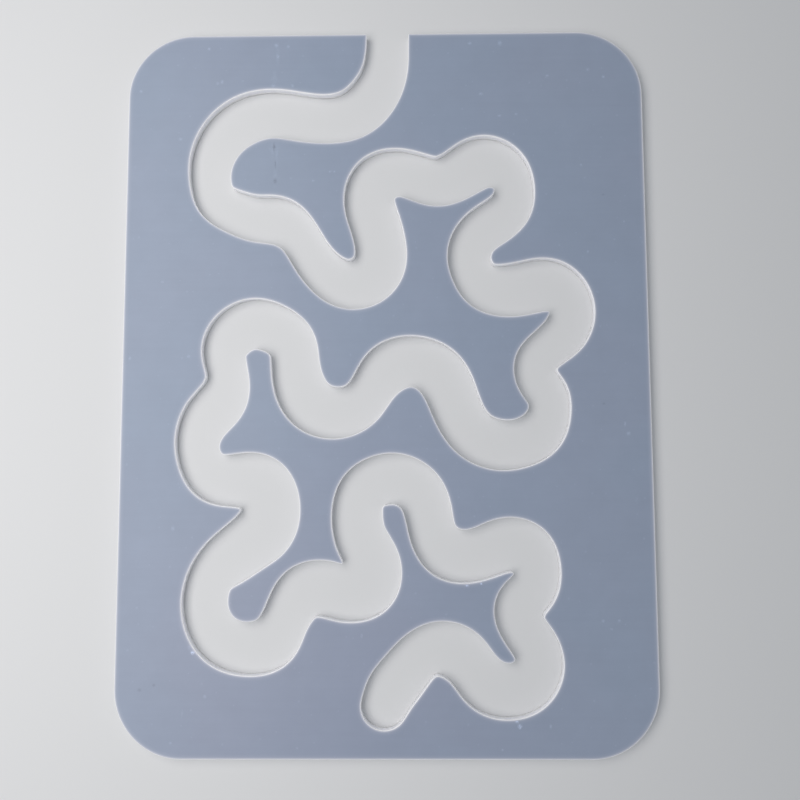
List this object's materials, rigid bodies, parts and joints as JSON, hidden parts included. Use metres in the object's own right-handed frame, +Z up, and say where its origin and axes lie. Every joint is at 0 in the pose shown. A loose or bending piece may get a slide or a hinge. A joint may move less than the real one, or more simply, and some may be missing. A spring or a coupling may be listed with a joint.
{
  "type": "quilting template",
  "caption": "Flat frosted plastic sheet with rounded corners and one long winding channel, open at a short edge, that guides a round ruler foot.",
  "frame": {"origin": "middle of the sheet's underside", "axes": "+Y along the sheet's length, towards the channel's mouth; +Z up, out of the upper face; +X to the right when seen from above"},
  "size_m": [0.17, 0.234, 0.003],
  "materials": {
    "frosted_plastic": "milky, satin frosted face with brighter cut edges"
  },
  "bodies": {
    "root": {"template_plate": "frosted_plastic"}
  },
  "joints": []
}
